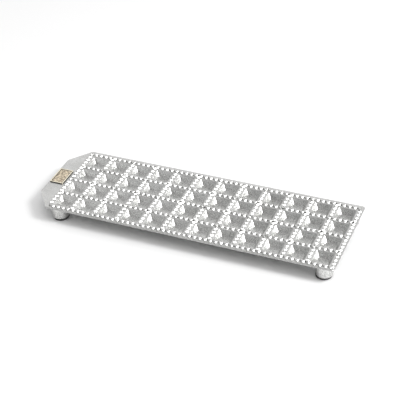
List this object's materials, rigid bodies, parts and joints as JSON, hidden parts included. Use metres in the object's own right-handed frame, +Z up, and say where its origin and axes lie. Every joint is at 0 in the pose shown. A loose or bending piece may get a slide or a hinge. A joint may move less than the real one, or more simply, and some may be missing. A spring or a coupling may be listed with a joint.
{
  "type": "ravioli mold",
  "caption": "Cast metal ravioli tray with rows of square pockets between zigzag cutting ridges, a plain end tab with a blank badge plate, and rubber feet under four bosses.",
  "frame": {"origin": "on the table under the middle of the tray's outline, at the level of the feet's undersides", "axes": "+X along the tray from the tab to the far end, +Y to the back, +Z up"},
  "size_m": [0.3622, 0.1222, 0.0194],
  "materials": {
    "cast_aluminium": "satin as-cast aluminium",
    "badge": "matt cream-gold, blank",
    "foot_rubber": "dull black rubber"
  },
  "bodies": {
    "root": {"mold_tray": "cast_aluminium", "badge_plate": "badge", "foot_front_tab": "foot_rubber", "foot_back_tab": "foot_rubber", "foot_front_far": "foot_rubber", "foot_back_far": "foot_rubber"}
  },
  "joints": []
}
